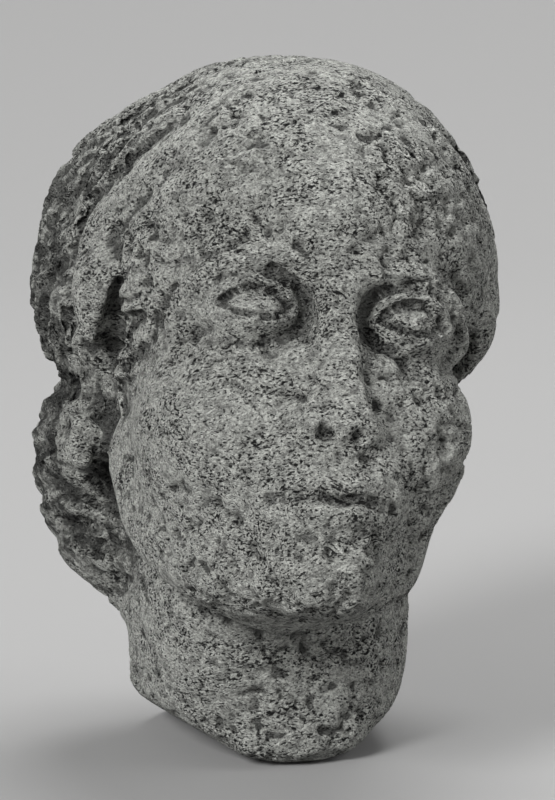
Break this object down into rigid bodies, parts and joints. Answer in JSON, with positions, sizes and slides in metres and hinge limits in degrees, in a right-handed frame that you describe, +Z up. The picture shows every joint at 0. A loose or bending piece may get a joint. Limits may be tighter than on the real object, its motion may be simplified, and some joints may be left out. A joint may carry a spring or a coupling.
{
  "type": "carved stone head",
  "caption": "Life-size weathered stone head with parted hair and a low knot, broken off through the neck, standing on the break.",
  "frame": {"origin": "middle of the neck's flat underside, on the surface that the head stands on", "axes": "+Z up along the neck, the face looks towards -Y and a little upwards, +X is the head's own left"},
  "size_m": [0.1897, 0.2501, 0.2828],
  "materials": {
    "stone": "rough, pitted and granular from weathering"
  },
  "bodies": {
    "root": {"stone_head": "stone"}
  },
  "joints": []
}
